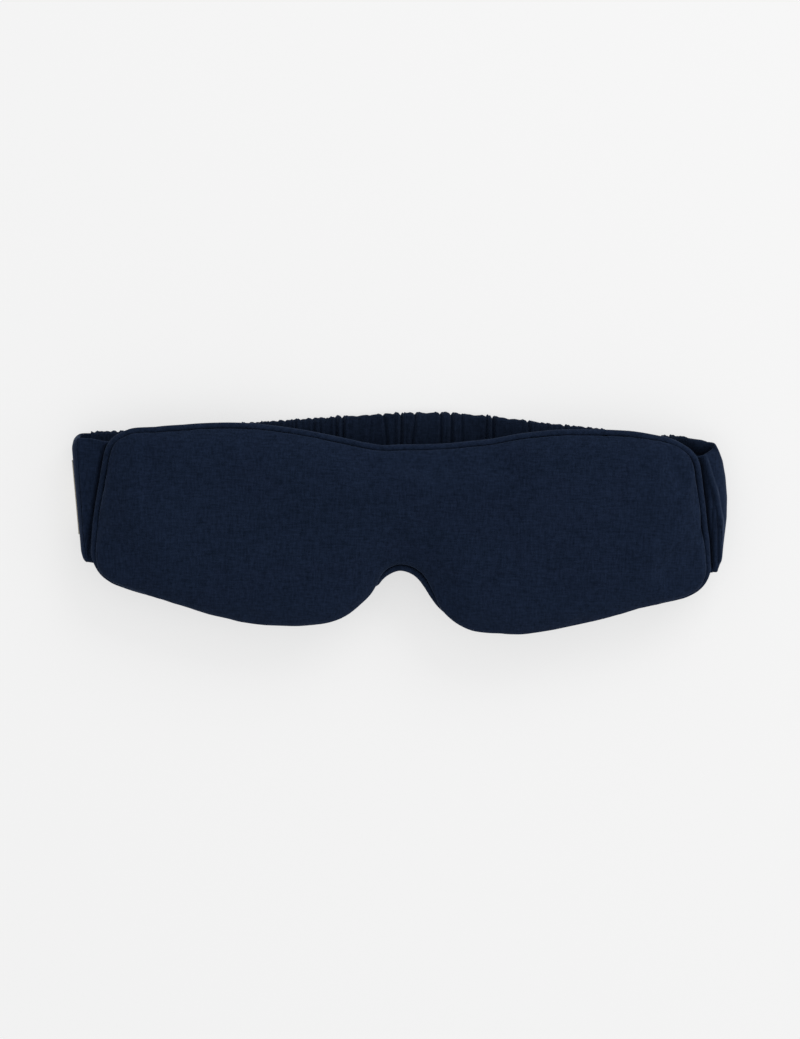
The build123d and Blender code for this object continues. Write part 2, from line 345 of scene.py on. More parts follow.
EDGE, TUCK, CORNER_SHARES = whole_outline()
EDGE_COUNT = len(EDGE)
TANGENT = np.roll(EDGE, -1, axis=0) - np.roll(EDGE, 1, axis=0)
TANGENT /= np.linalg.norm(TANGENT, axis=1, keepdims=True)
INWARD = np.stack([TANGENT[:, 1], -TANGENT[:, 0]], axis=1)


def at_edge(table, place):
    """A table's value at a fractional place round the closed edge."""
    low = np.floor(place).astype(int)
    share = (place - low).reshape(-1, *[1] * (table.ndim - 1))
    return table[low % EDGE_COUNT] * (1 - share) + table[(low + 1) % EDGE_COUNT] * share


def nearest_edge(points):
    """Each point's distance from the edge, and the fractional place it is nearest to."""
    found = []
    for chunk in np.array_split(points, max(1, len(points) // 2000)):
        gap = ((chunk[:, None, :] - EDGE[None]) ** 2).sum(axis=2)
        found.append(gap.argmin(axis=1))
    index = np.concatenate(found)
    slide = ((points - EDGE[index]) * TANGENT[index]).sum(axis=1) / OUTLINE_STEP
    place = index + np.clip(slide, -0.5, 0.5)
    return np.linalg.norm(points - at_edge(EDGE, place), axis=1), place


# ---- the padded panels --------------------------------------------------------------

GRID_ACROSS, GRID_UP = 150, 56
PROFILE_REACH = 20.0
GRID_CROWDING = 0.11              # how much closer the grid's lines are near its sides
SMOOTHING_ROUNDS = 12
CLOTH_PRESSURE = 4.0
CLOTH_FRAMES = 20
FAINT_PUCKERS = 150
PANEL_SEED = 11

# The panels' sections from the seam inwards: distance from the seam line, and at that
# place how far in from it and how high the cloth is, for piping that stands out (first)
# and piping that is rolled under (second).
FRONT_SECTION = [
    (0.0, (0.0, 12.9), (0.0, 12.6)),
    (0.8, (0.35, 13.6), (-1.6, 13.2)),
    (1.6, (0.05, 14.6), (-3.8, 14.3)),
    (2.5, (-0.3, 15.6), (-4.7, 15.6)),
    (3.4, (0.0, 16.4), (-4.3, 16.8)),
    (4.8, (1.6, 17.5), (-2.2, 17.9)),
    (7.0, (4.6, 18.3), (2.0, 18.9)),
    (11.0, (9.6, 19.4), (8.6, 19.7)),
    (15.0, (14.4, 20.0), (14.2, 20.1)),
    (PROFILE_REACH, (PROFILE_REACH, 20.3), (PROFILE_REACH, 20.3)),
]
BACK_SECTION = [
    (0.0, (0.0, 12.9), (0.0, 12.6)),
    (0.7, (0.0, 12.1), (0.1, 11.9)),
    (1.7, (0.4, 11.2), (0.6, 11.1)),
    (3.4, (2.2, 10.2), (2.4, 10.2)),
    (8.0, (8.0, 9.8), (8.0, 9.8)),
    (14.0, (14.0, 9.6), (14.0, 9.6)),
    (PROFILE_REACH, (PROFILE_REACH, 9.5), (PROFILE_REACH, 9.5)),
]


def section_tables(section):
    """Fine tables of a section's inset and height, for no tuck and for full tuck."""
    q = np.array([row[0] for row in section])
    fine = np.linspace(0, PROFILE_REACH, 400)
    window = np.exp(-np.linspace(-2, 2, 15) ** 2)
    window /= window.sum()
    tables = []
    for form in (1, 2):
        for part in (0, 1):
            values = np.interp(fine, q, [row[form][part] for row in section])
            padded_ends = np.pad(values, 7, mode="reflect", reflect_type="odd")
            tables.append(np.convolve(padded_ends, window, mode="valid"))
    return fine, tables


def seam_grid():
    """A grid of points that fills the seam line, rows from the lower edge up."""
    seam = EDGE + INWARD * (SEAM_INSET + TUCK_IN * TUCK)[:, None]
    top_right = CORNER_SHARES[TOP_CORNER] * EDGE_COUNT
    low_right = CORNER_SHARES[LOW_CORNER] * EDGE_COUNT
    top_left, low_left = EDGE_COUNT - top_right, EDGE_COUNT - low_right

    def crowded(count):
        """From 0 to 1, with the steps near both ends smaller."""
        t = np.linspace(0, 1, count)
        return t - GRID_CROWDING * np.sin(2 * math.pi * t)

    u, v = crowded(GRID_ACROSS), crowded(GRID_UP)
    upper = at_edge(seam, top_left - EDGE_COUNT + (top_right - top_left + EDGE_COUNT) * u)
    lower = at_edge(seam, low_left + (low_right - low_left) * u)
    left = at_edge(seam, low_left + (top_left - low_left) * v)
    right = at_edge(seam, low_right + (top_right - low_right) * v)
    u, v = u[None, :, None], v[:, None, None]
    flat = (1 - v) * lower[None] + v * upper[None] + (1 - u) * left[:, None] + u * right[:, None]
    flat -= (1 - u) * (1 - v) * lower[0] + u * (1 - v) * lower[-1]
    flat -= (1 - u) * v * upper[0] + u * v * upper[-1]
    for _ in range(SMOOTHING_ROUNDS):
        flat[1:-1, 1:-1] = (flat[:-2, 1:-1] + flat[2:, 1:-1]
                            + flat[1:-1, :-2] + flat[1:-1, 2:]) / 4
    return flat


def raised(flat, section, crown_noise, overhang):
    """The grid lifted to a panel's section."""
    points = flat.reshape(-1, 2)
    depth, place = nearest_edge(points)
    tuck = at_edge(TUCK, place)
    fine, (in_out, high_out, in_under, high_under) = section_tables(section)
    q = np.clip(depth - SEAM_INSET - TUCK_IN * tuck, 0, None)
    inset = np.interp(q, fine, in_out) * (1 - tuck) + np.interp(q, fine, in_under) * tuck
    height = np.interp(q, fine, high_out) * (1 - tuck) + np.interp(q, fine, high_under) * tuck
    facing_up = np.clip(-at_edge(INWARD, place)[:, 1], 0, 1)
    inset = inset - overhang * facing_up * bell(q, 2.4, 1.5)
    shift = np.where(q < PROFILE_REACH, inset - q, 0)
    moved = points + at_edge(INWARD, place) * shift[:, None]
    height = height + crown_noise * smoothstep(q, 2, 16)
    return np.column_stack([moved, height]), q, place


def simulate_cloth(points, faces, pinned, pressure, frames, cap):
    """Blows the closed panels up as cloth, with the seam held, and moves no point past cap."""
    mesh = bpy.data.meshes.new("cloth")
    mesh.from_pydata((points * MM).tolist(), [], faces)
    body = bpy.data.objects.new("cloth", mesh)
    bpy.context.scene.collection.objects.link(body)
    body.vertex_groups.new(name="held").add(pinned, 1.0, "REPLACE")
    cloth = body.modifiers.new("cloth", "CLOTH")
    cloth.settings.quality = 6
    cloth.settings.mass = 0.25
    cloth.settings.tension_stiffness = 20
    cloth.settings.compression_stiffness = 20
    cloth.settings.shear_stiffness = 8
    cloth.settings.bending_stiffness = 0.6
    cloth.settings.use_pressure = True
    cloth.settings.uniform_pressure_force = pressure
    cloth.settings.shrink_min = -0.012
    cloth.settings.vertex_group_mass = "held"
    cloth.settings.effector_weights.gravity = 0
    cloth.collision_settings.use_collision = False
    cloth.point_cache.frame_start = 1
    cloth.point_cache.frame_end = frames
    for at in range(1, frames + 1):
        bpy.context.scene.frame_set(at)
    result = body.evaluated_get(bpy.context.evaluated_depsgraph_get())
    moved = np.empty(len(points) * 3, np.float32)
    result.data.vertices.foreach_get("co", moved)
    moved = moved.reshape(-1, 3) / MM
    bpy.data.objects.remove(body)
    bpy.data.meshes.remove(mesh)
    bpy.context.scene.frame_set(1)
    step = moved - points
    far = np.linalg.norm(step, axis=1, keepdims=True)
    return points + step * np.minimum(1, cap[:, None] / np.maximum(far, 1e-9))


# Small tucks in the front panel where it is gathered into the seam: station round the
# edge as a share of its length, width, length and depth.
PUCKERS_BY_HAND = [(0.853, 0.8, 6.0, 0.55), (0.861, 0.6, 5.0, 0.4),
                   (0.131, 0.8, 7.0, 0.6), (0.152, 0.6, 5.0, 0.35)]


def pucker(points, normals, q, place, rng):
    """Presses the small tucks into the panel, with many faint ones round the whole seam."""
    tucks = list(PUCKERS_BY_HAND)
    for _ in range(FAINT_PUCKERS):
        tucks.append((rng.uniform(0, 1), rng.uniform(0.6, 1.6), rng.uniform(3, 8),
                      rng.uniform(-0.18, 0.16)))
    press = np.zeros(len(points))
    for share, width, length, depth in tucks:
        offset = (place / EDGE_COUNT - share + 0.5) % 1 - 0.5
        across = offset * EDGE_COUNT * OUTLINE_STEP + 0.12 * q
        press += depth * np.exp(-((across / width) ** 2)) * np.exp(-((q / length) ** 2))
    return points - normals * (press * smoothstep(q, 0.2, 1.5))[:, None]


def make_panels():
    rng = np.random.default_rng(PANEL_SEED)
    flat = seam_grid()
    x, y = flat[..., 0].ravel(), flat[..., 1].ravel()
    unevenness = 0.16 * wander(rng, x + 0.4 * y, 14) + 0.12 * wander(rng, y - 0.3 * x, 9)
    front, q, place = raised(flat, FRONT_SECTION, unevenness, TOP_OVERHANG)
    back, _, _ = raised(flat, BACK_SECTION, 0.1 * unevenness, 0.0)
    count = len(front)
    rows, columns = GRID_UP, GRID_ACROSS
    rim = np.zeros((rows, columns), bool)
    rim[[0, -1]] = True
    rim[:, [0, -1]] = True
    rim = rim.ravel()
    twin = np.where(rim, np.arange(count), count + np.cumsum(~rim) - 1)
    faces = grid_faces(rows, columns)
    faces += [[int(twin[i]) for i in quad[::-1]] for quad in grid_faces(rows, columns)]
    both = np.vstack([front, back[~rim]])
    cap = 0.3 + 0.9 * smoothstep(np.concatenate([q, q[~rim]]), 2.5, 9)
    both = simulate_cloth(both, faces, np.flatnonzero(rim).tolist(), CLOTH_PRESSURE,
                          CLOTH_FRAMES, cap)
    front = both[:count]
    back[~rim] = both[count:]
    back[:, 2] = np.maximum(back[:, 2], BACK - 0.2)
    front = pucker(front, grid_normals(front.reshape(rows, columns, 3)).reshape(-1, 3) * -1,
                   q, place, rng)
    front_piece = make_mesh("front_panel", front, grid_faces(rows, columns), panel_cloth)
    back_piece = make_mesh("back_panel", back, grid_faces(rows, columns, flip=True), panel_cloth)
    return front_piece, back_piece


front_panel, back_panel = make_panels()
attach(front_panel, "mask")
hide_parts("front_cover", "front_wadding", "blackout_lining")
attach(back_panel, "mask")
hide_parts("back_cover", "back_wadding")

# ---- the piping ---------------------------------------------------------------------

BEAD_SIDES = 14
PIPING_SEED = 5


def make_piping():
    """The covered cord, round the edge and rolled under along the lower edge."""
    rng = np.random.default_rng(PIPING_SEED)
    count = EDGE_COUNT // 2
    place = np.arange(count) * 2.0
    along = place * OUTLINE_STEP
    tuck = at_edge(TUCK, place)
    closing = np.sin(math.pi * place / EDGE_COUNT) ** 0.5
    sway = 0.12 * wander(rng, along, 9) * closing
    swell = 1 + 0.035 * wander(rng, along, 3) * closing
    inward = at_edge(INWARD, place)
    inset = BEAD + TUCK_IN * tuck + sway
    middle = np.column_stack([at_edge(EDGE, place) + inward * inset[:, None],
                              BEAD_Z - TUCK_DOWN * tuck + 0.08 * wander(rng, along, 7) * closing])
    angle = np.arange(BEAD_SIDES) / BEAD_SIDES * 2 * math.pi
    ring_out = np.column_stack([inward, np.zeros(count)])[:, None] * np.cos(angle)[None, :, None]
    ring_up = np.array([0, 0, 1.0]) * np.sin(angle)[None, :, None]
    tube = middle[:, None] + (ring_out + ring_up) * (BEAD * swell)[:, None, None]
    faces = grid_faces(count + 1, BEAD_SIDES, around=True)
    total = count * BEAD_SIDES
    faces = [[i % total for i in quad] for quad in faces]
    return make_mesh("piping", tube.reshape(-1, 3), faces, piping_cloth)


piping = make_piping()
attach(piping, "mask")
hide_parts("piping_cover", "piping_cord")

# ---- a piece's placement, baked into its mesh ---------------------------------------


def bend_with_strap(piece):
    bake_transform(piece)


# ---- strips and stitches ------------------------------------------------------------


def strip_places(width, thickness, count):
    """Places across a strip, close together at its two rounded edges."""
    bend = thickness / 2 * np.array([0, 0.15, 0.45, 1.0])
    inner = np.linspace(-width / 2 + thickness, width / 2 - thickness, count)
    return np.concatenate([bend - width / 2, inner, width / 2 - bend[::-1]])


def strip_mesh(name, middle, places, thickness, material, levels=1):
    """A closed strip with rounded long edges round a grid of middle points."""
    rows, columns = middle.shape[:2]
    reach = thickness / 2
    from_edge = np.minimum(places - places[0], places[-1] - places)
    half = np.sqrt(reach**2 - np.clip(reach - from_edge, 0, None) ** 2)
    rise = grid_normals(middle) * half[None, :, None]
    ring = np.concatenate([middle + rise, (middle - rise)[:, -2:0:-1]], axis=1)
    around = ring.shape[1]
    faces = grid_faces(rows, around, around=True)
    for row, flip in ((0, False), (rows - 1, True)):
        first = row * around
        for c in range(columns - 1):
            opposite = (around - c) % around
            quad = [c, c + 1, around - c - 1, opposite]
            corners = list(dict.fromkeys(i % around + first for i in quad))
            faces.append(corners[::-1] if flip else corners)
    return make_mesh(name, ring.reshape(-1, 3), faces, material, levels)


STITCH_SIDES = 6


def stitch_mesh(name, lines, radius, material):
    """Thread along each of the short lines, with rounded ends, in one piece."""
    swell = np.array([0.25, 0.75, 1.0, 1.0, 1.0, 0.75, 0.25])
    angle = np.arange(STITCH_SIDES) / STITCH_SIDES * 2 * math.pi
    points, faces = [], []
    for line in lines:
        line = resample(np.asarray(line, float), len(swell))
        ahead = np.gradient(line, axis=0)
        ahead /= np.linalg.norm(ahead, axis=1, keepdims=True)
        side = np.cross(ahead, (0.1, 0.2, 1.0))
        side /= np.linalg.norm(side, axis=1, keepdims=True)
        up = np.cross(side, ahead)
        turn = side[:, None] * np.cos(angle)[:, None] + up[:, None] * np.sin(angle)[:, None]
        tube = line[:, None] + turn * (radius * swell)[:, None, None]
        first = sum(len(p) for p in points)
        points.append(tube.reshape(-1, 3))
        faces += grid_faces(len(swell), STITCH_SIDES, around=True, first=first)
        last = first + (len(swell) - 1) * STITCH_SIDES
        faces.append([first + i for i in range(STITCH_SIDES)][::-1])
        faces.append([last + i for i in range(STITCH_SIDES)])
    return make_mesh(name, np.vstack(points), faces, material, levels=0)


THREAD = 0.22
STITCH_PITCH = 3.5
PERIMETER_INSET = 1.2             # of the perimeter stitches, inside the seam line


def make_perimeter_stitches():
    """The seam's thread, inside the panels just in from the piping."""
    lines = []
    count = round(EDGE_COUNT * OUTLINE_STEP / STITCH_PITCH)
    for i in range(count):
        place = (i + np.array([0.2, 0.5, 0.8])) / count * EDGE_COUNT
        tuck = at_edge(TUCK, place)
        inset = SEAM_INSET + TUCK_IN * tuck + PERIMETER_INSET
        spot = at_edge(EDGE, place) + at_edge(INWARD, place) * inset[:, None]
        lines.append(np.column_stack([spot, SEAM_Z - 0.7 * tuck]))
    return stitch_mesh("perimeter_stitches", lines, THREAD, thread_navy)


perimeter_stitches = make_perimeter_stitches()
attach(perimeter_stitches, "mask")
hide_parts("perimeter_seam_stitches")

# ---- how the strap lies --------------------------------------------------------------

CASING_WIDTH = 50.4
STRAP_CREST = [(-121, 31.4), (-108, 31.9), (-90, 32.8), (-60, 36.2), (-25, 39.4), (0, 41.3),
               (17, 41.8), (36, 40.7), (58, 38.5), (75, 37.2), (86, 35.5), (96, 34.6),
               (107, 35.1), (113, 34.5), (121, 33.9)]


def strap_middle(x):
    """Y of the strap's middle line at each X."""
    line = catmull_rom(STRAP_CREST, 400)
    return np.interp(x, line[:, 0], line[:, 1]) - CASING_WIDTH / 2


CURL_HEIGHT = 5.6


def strap_curl(x, y):
    """How far the strap's upper edge curls up, where it comes out beside the right tab."""
    across = y - strap_middle(x)
    return CURL_HEIGHT * smoothstep(x, 104, 114) * smoothstep(across, 13, 25)


# ---- side tabs ----------------------------------------------------------------------

TAB_WIDTH = TAB_HIGH[1] - TAB_LOW[1]
TAB_THICK = 1.2
TAB_ROOT = 108.0                  # the tab's end inside the perimeter seam
TAB_LEVEL = TAB_HIGH[2] - TAB_THICK / 2
LEAF_LEVEL = TAB_LOW[2] + TAB_THICK / 2
LEAF_END = 112.5
LEAF_FLARE = 1.02                 # how many times as wide the lower leaf is as the upper
SEAM_LINE_X = 112.0               # the upper leaf is level from its root to here
TURN_IN = 117.5                   # where the lower leaf levels out
TAB_SEED = 21
TAB_ROWS = 150
TAB_COLUMNS = 56

# Across each tab, from its lower to its upper edge: how far out the fold reaches and where
# the upper leaf starts to fall towards it. Then how far the leaf is drawn down at the
# seam and at the fold, the height of the fold's nose, the depth and width of the groove
# beside the piping, and creases: their ends, width and height.
TABS = {
    "left": {
        "side": -1,
        "fold": ([-24.2, -23.4, -20.5, -2, 12, 19.5, 22.6, 24.2],
                 [121.8, 123.4, 124.3, 126.1, 127.5, 128.2, 127.6, 125.6]),
        "shoulder": ([-24.2, 24.2], [121.2, 124.4]),
        "drawn": (1.7, 0.7),
        "nose": 6.6,
        "groove": (2.1, 1.1),
        "creases": [((119.0, -14), (121.5, 12), 1.3, 0.35), ((122.0, -6), (124.0, 22), 1.4, -0.3)],
    },
    "right": {
        "side": 1,
        "fold": ([-24.2, -23.6, -22.2, -20.0, -11.6, -3.9, 3.9, 11.6, 17.4, 22.0, 24.2],
                 [119.6, 121.8, 123.8, 125.0, 125.8, 126.5, 126.4, 125.5, 124.2, 122.2, 120.8]),
        "shoulder": ([-24.2, -19, -7.4, 4.1, 15.6, 24.2],
                     [122.2, 123.6, 122.9, 120.4, 116.2, 115.0]),
        "drawn": (2.2, -1.0),
        "nose": 7.0,
        "groove": (2.3, 0.9),
        "creases": [((116.9, 21), (121.2, 8), 1.0, 1.4), ((121.2, 9), (123.9, -4), 0.9, 1.5),
                    ((123.7, -3), (124.4, -19), 0.9, 1.2), ((121.3, 0), (122.3, -21), 0.75, 1.3),
                    ((119.4, 7), (120.7, -20), 0.7, 0.8)],
    },
}


def crease_rise(x, y, creases):
    """How far the long creases lift or press the leaf at each place."""
    rise = np.zeros_like(x)
    for (x1, y1), (x2, y2), width, height in creases:
        share = (y - y1) / (y2 - y1)
        line = x1 + (x2 - x1) * share
        fade = smoothstep(share, -0.25, 0.1) * (1 - smoothstep(share, 0.9, 1.25))
        off = (x - line) / width
        rise += height * fade * np.exp(-np.where(off > 0, (off * 1.8) ** 2, off**2))
    return rise


def tab_middle(shape, places, rows):
    """The tab's middle layer: rows from the seam round the fold into the strap casing."""
    columns = []
    quarter = np.linspace(0, math.pi / 2, 7)
    for v in places:
        fold = np.interp(v, *shape["fold"]) - TAB_THICK / 2
        shoulder = np.interp(v, *shape["shoulder"])
        nose = shape["nose"]
        over_x = shoulder + (fold - shoulder) * np.sin(quarter)
        over_z = nose + (TAB_LEVEL - nose) * np.cos(quarter) ** 0.85
        under_x = TURN_IN + (fold - TURN_IN) * np.cos(quarter[1:]) ** 0.8
        under_z = nose + (LEAF_LEVEL - nose) * np.sin(quarter[1:])
        x = np.concatenate([[TAB_ROOT, SEAM_LINE_X], over_x, under_x, [LEAF_END]])
        z = np.concatenate([[TAB_LEVEL, TAB_LEVEL], over_z, under_z, [LEAF_LEVEL]])
        columns.append(catmull_rom(np.column_stack([x, z]), rows))
    grid = np.stack(columns, axis=1)
    x, z = grid[..., 0], grid[..., 1]
    upper = smoothstep(z, shape["nose"] - 3, shape["nose"] + 4)
    out = smoothstep(x, 114, 122)
    drawn = shape["drawn"][0] * (1 - out) + shape["drawn"][1] * out
    above = STRAP_Y + places[None, :] - drawn
    below = strap_middle(shape["side"] * x) + places[None, :] * LEAF_FLARE
    y = above * upper + below * (1 - upper)
    leaf = smoothstep(z, shape["nose"], shape["nose"] + 3)
    z = z + leaf * crease_rise(x, y - STRAP_Y, shape["creases"])
    gap, _ = nearest_edge(np.column_stack([x.ravel(), y.ravel()]))
    deep, width = shape["groove"]
    from_edge = TAB_WIDTH / 2 - np.abs(places)[None, :]
    z = z - leaf * deep * bell(gap.reshape(x.shape), 0.25, width) * smoothstep(from_edge, 0, 3)
    rng = np.random.default_rng(TAB_SEED + shape["side"])
    z = z + leaf * 0.12 * wander(rng, y + 0.6 * x, 5)
    z = z + (1 - upper) * strap_curl(shape["side"] * x, y)
    return np.stack([x * shape["side"], y, z], axis=2)


def make_tab(name, shape):
    places = strip_places(TAB_WIDTH, TAB_THICK, TAB_COLUMNS)
    middle = tab_middle(shape, places, TAB_ROWS)
    return strip_mesh(f"{name}_fabric_tab", middle, places, TAB_THICK, tab_cloth)


for tab_name, tab_shape in TABS.items():
    tab_piece = make_tab(tab_name, tab_shape)
    bend_with_strap(tab_piece)
    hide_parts(f"{tab_name}_tab")

# ---- label under the left fold ------------------------------------------------------

LABEL_MIDDLE = 0.1
LABEL_LENGTH = 28.6
LABEL_THICK = 0.3
LABEL_WRAP = 7.8                  # along the tab's middle, and 10 mm along the label itself
LABEL_START = 0.6                 # how far above the fold's nose the label begins
TACK_BARS = 4
TACK_STEP = 0.3
TACK_INSET = 0.35                 # of the outermost bar, from the label's end


def label_middle(places, rows, lift):
    """A grid over the outside of the left fold, from just above its nose to underneath."""
    fine = tab_middle(TABS["left"], places, 240)
    columns = []
    for c in range(len(places)):
        line = fine[:, c]
        nose = line[:, 0].argmin()
        along = np.concatenate([[0], np.cumsum(np.linalg.norm(np.diff(line, axis=0), axis=1))])
        wanted = along[nose] - LABEL_START + np.linspace(0, LABEL_WRAP, rows)
        tangent = np.gradient(line, axis=0)
        outside = np.stack([tangent[:, 2], np.zeros(len(line)), -tangent[:, 0]], axis=1)
        outside /= np.linalg.norm(outside, axis=1, keepdims=True)
        outside *= np.sign(-outside[nose, 0])
        shifted = line + outside * (TAB_THICK / 2 + LABEL_THICK / 2 + lift)
        columns.append(np.stack([np.interp(wanted, along, s) for s in shifted.T], axis=1))
    return np.stack(columns, axis=1)


def make_label():
    places = strip_places(LABEL_LENGTH, LABEL_THICK, 30)
    middle = label_middle(places + LABEL_MIDDLE, 12, 0.12)
    return strip_mesh("label", middle, places, LABEL_THICK, label_cloth)


def make_label_tacks():
    """Short bars of thread across the label's two ends."""
    lines = []
    for end in (-1, 1):
        for k in range(TACK_BARS):
            place = LABEL_MIDDLE + end * (LABEL_LENGTH / 2 - TACK_INSET - TACK_STEP * k)
            line = label_middle(np.array([place, place + 0.1]), 24, 0.3)[:, 0]
            lines.append(line[1 + k:8 + k])
    return stitch_mesh("tack_threads", lines, THREAD, thread_navy)


label = make_label()
bend_with_strap(label)
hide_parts("blank_label")
label_tacks = make_label_tacks()
bend_with_strap(label_tacks)
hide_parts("label_tacks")

# ---- the gathered strap -------------------------------------------------------------

NAMES = {-1: "left", 1: "right"}
CASING_END = CASING_HIGH[0]
CASING_TOP = CASING_HIGH[2]
CASING_WALL = 0.8
LEFT_OVERLAP, RIGHT_OVERLAP = 1.3, -0.4  # how far each half runs past the CAD casing's end
ELASTIC_WIDTH = 44.6
ELASTIC_THICK = 0.6
ELASTIC_LIFT = 0.2                # keeps it mostly clear of the gathers that rise under it
ELASTIC_ROWS = 60
SPLIT = -0.66                     # the two halves meet in a deep crease
STATION_STEP = 0.35
RING_COUNT = 120
GATHER_STEP = 1.7                 # mean distance between the creases that the mask hides
CREASE_SEED = 8
GATHER_SEED = 31
# Deep creases seen over the mask's dip: place, lean (change of place for each mm down
# the strap), width and depth.
CREASES_BY_HAND = [
    (-26.2, 0.02, 0.45, 1.1), (-23.3, -0.02, 0.50, 1.3), (-17.5, 0.05, 0.9, 0.25),
    (-12.4, -0.10, 0.5, 0.35), (-7.6, 0.13, 0.55, 1.1), (-3.3, 0.04, 0.4, 0.6),
    (SPLIT, 0.0, 0.55, 1.5), (0.9, 0.05, 0.3, 0.5), (4.8, -0.10, 0.55, 1.2),
    (9.5, 0.02, 0.8, 0.2), (14.6, 0.01, 0.5, 1.3), (18.8, 0.0, 0.55, 1.4),
    (22.8, 0.02, 0.4, 0.8), (28.0, 0.03, 0.9, 0.2), (32.6, -0.04, 0.45, 1.0),
    (34.8, 0.02, 0.55, 1.4), (41.5, 0.02, 0.9, 0.3), (48.7, 0.05, 0.55, 1.2),
]


def gather_creases():
    rng = np.random.default_rng(CREASE_SEED)
    creases = list(CREASES_BY_HAND)
    for first, last in ((-CASING_END, -27.5), (50.3, CASING_END)):
        x = first + 0.5
        while x < last:
            deep = rng.random() < 0.22
            depth = rng.uniform(0.8, 1.3) if deep else rng.uniform(0.25, 0.7)
            creases.append((x, rng.uniform(-0.05, 0.05), rng.uniform(0.35, 0.6), depth))
            x += GATHER_STEP * rng.uniform(0.6, 1.5)
    return np.array(creases)


GATHERS = gather_creases()


def gather_depth(x, down, phase):
    """How far the cloth is drawn in at stations x, where down is the distance below the
    strap's upper edge, with puffed cloth beside each crease."""
    rng = np.random.default_rng(GATHER_SEED + phase)
    bow = 0.7 * wander(rng, down + 3.0 * x / 10, 7) * smoothstep(down, 4, 16)
    total = np.zeros(np.broadcast(x, down).shape)
    for place, lean, width, depth in GATHERS:
        off = np.abs(x - place - lean * np.minimum(down, 14) - bow)
        near = off < 8 * width + 2
        if not near.any():
            continue
        groove = np.exp(-((off / width) ** 1.3))
        puff = 0.42 * np.exp(-(((off - 2.4 * width) / (1.3 * width)) ** 2))
        total += depth * np.where(near, groove - puff, 0)
    return total


def casing_ring():
    """The flattened tube's section: place across, height, and outward direction."""
    half, up = CASING_WIDTH / 2, (CASING_TOP - 0.5) / 2
    angle = np.arange(RING_COUNT) / RING_COUNT * 2 * math.pi
    bulge = 0.32
    across = half * np.sign(np.cos(angle)) * np.abs(np.cos(angle)) ** bulge
    height = up * np.sign(np.sin(angle)) * np.abs(np.sin(angle)) ** 0.55
    spaced = resample(np.column_stack([across, height])[list(range(RING_COUNT)) + [0]],
                      RING_COUNT + 1)[:-1]
    ahead = np.roll(spaced, -1, axis=0) - np.roll(spaced, 1, axis=0)
    outward = np.stack([ahead[:, 1], -ahead[:, 0]], axis=1)
    outward /= np.linalg.norm(outward, axis=1, keepdims=True)
    return spaced, outward


RING, RING_OUT = casing_ring()


def casing_surface(x, ring=None, drawn=1.0, sink=0.0):
    """Points on the casing at stations x, all round or at chosen ring places. drawn is how
    much of the gathers shows, and sink is the depth under the outer face."""
    ring = np.arange(RING_COUNT) if ring is None else ring
    across, height = RING[ring, 0], RING[ring, 1]
    out_y, out_z = RING_OUT[ring, 0], RING_OUT[ring, 1]
    x = np.asarray(x, float)[:, None]
    down = (CASING_WIDTH / 2 - across)[None, :]
    top = gather_depth(x, down, 0)
    under = gather_depth(x + 0.9, down, 1)
    above = smoothstep(height, -1.2, 1.2)[None, :]
    draw = top * above + under * (1 - above)
    calm = 1 - 0.92 * smoothstep(x, 109.5, 112)
    at_rim = 1 - smoothstep(np.minimum(down, CASING_WIDTH - down), 0.0, 3.5)
    amount = (0.9 + 0.45 * at_rim) * calm * drawn
    shift = -draw * amount - sink
    slack = 0.35 * np.sin(x / 7.0 + 0.6 * np.sin(down / 9.0)) * (1 - at_rim) * above
    taper = 1 - 0.04 * smoothstep(x, CASING_END - 5, CASING_END)
    y = across[None, :] * taper + out_y[None, :] * shift + strap_middle(x)
    z = CASING_TOP / 2 + height[None, :] * 0.98 + out_z[None, :] * shift + slack * calm
    lowest = 0.08 + sink
    z = np.maximum(z, lowest) + strap_curl(x, y)
    return np.stack([np.broadcast_to(x, y.shape), y, z], axis=2)


def casing_half(side):
    """One half of the gathered tube, with its cloth's thickness, from the middle crease."""
    end = CASING_END + (LEFT_OVERLAP if side < 0 else RIGHT_OVERLAP)
    count = round((end - side * SPLIT) / STATION_STEP)
    x = np.linspace(SPLIT, side * end, count)
    outer = casing_surface(x)
    inner = casing_surface(x, drawn=0.5, sink=CASING_WALL)
    points = np.vstack([outer.reshape(-1, 3), inner.reshape(-1, 3)])
    total = count * RING_COUNT
    faces = grid_faces(count, RING_COUNT, around=True, flip=side > 0)
    faces += grid_faces(count, RING_COUNT, around=True, flip=side < 0, first=total)
    for first, flip in ((0, side > 0), (total - RING_COUNT, side < 0)):
        for i in range(RING_COUNT):
            j = (i + 1) % RING_COUNT
            quad = [first + i, first + j, total + first + j, total + first + i]
            faces.append(quad[::-1] if flip else quad)
    return make_mesh(f"{NAMES[side]}_gathered_casing", points, faces, strap_cloth, levels=0)


def elastic_half(side):
    places = strip_places(ELASTIC_WIDTH, ELASTIC_THICK, 20)
    x = np.linspace(SPLIT, side * ELASTIC_HIGH[0], ELASTIC_ROWS)
    level = (ELASTIC_LOW[2] + ELASTIC_HIGH[2]) / 2 + ELASTIC_LIFT
    y = strap_middle(x)[:, None] + places
    middle = np.stack([np.broadcast_to(x[:, None], y.shape), y,
                       level + strap_curl(x[:, None], y)], axis=2)
    return strip_mesh(f"{NAMES[side]}_elastic", middle, places, ELASTIC_THICK, elastic_web,
                      levels=0)


def ring_near(y_share, top):
    """The ring place nearest to a share of the width, on the top or underneath."""
    wanted = CASING_WIDTH / 2 * y_share
    on_face = RING[:, 1] > 0.6 if top else RING[:, 1] < -0.6
    gap = np.where(on_face, np.abs(RING[:, 0] - wanted), 1e9)
    return int(gap.argmin())


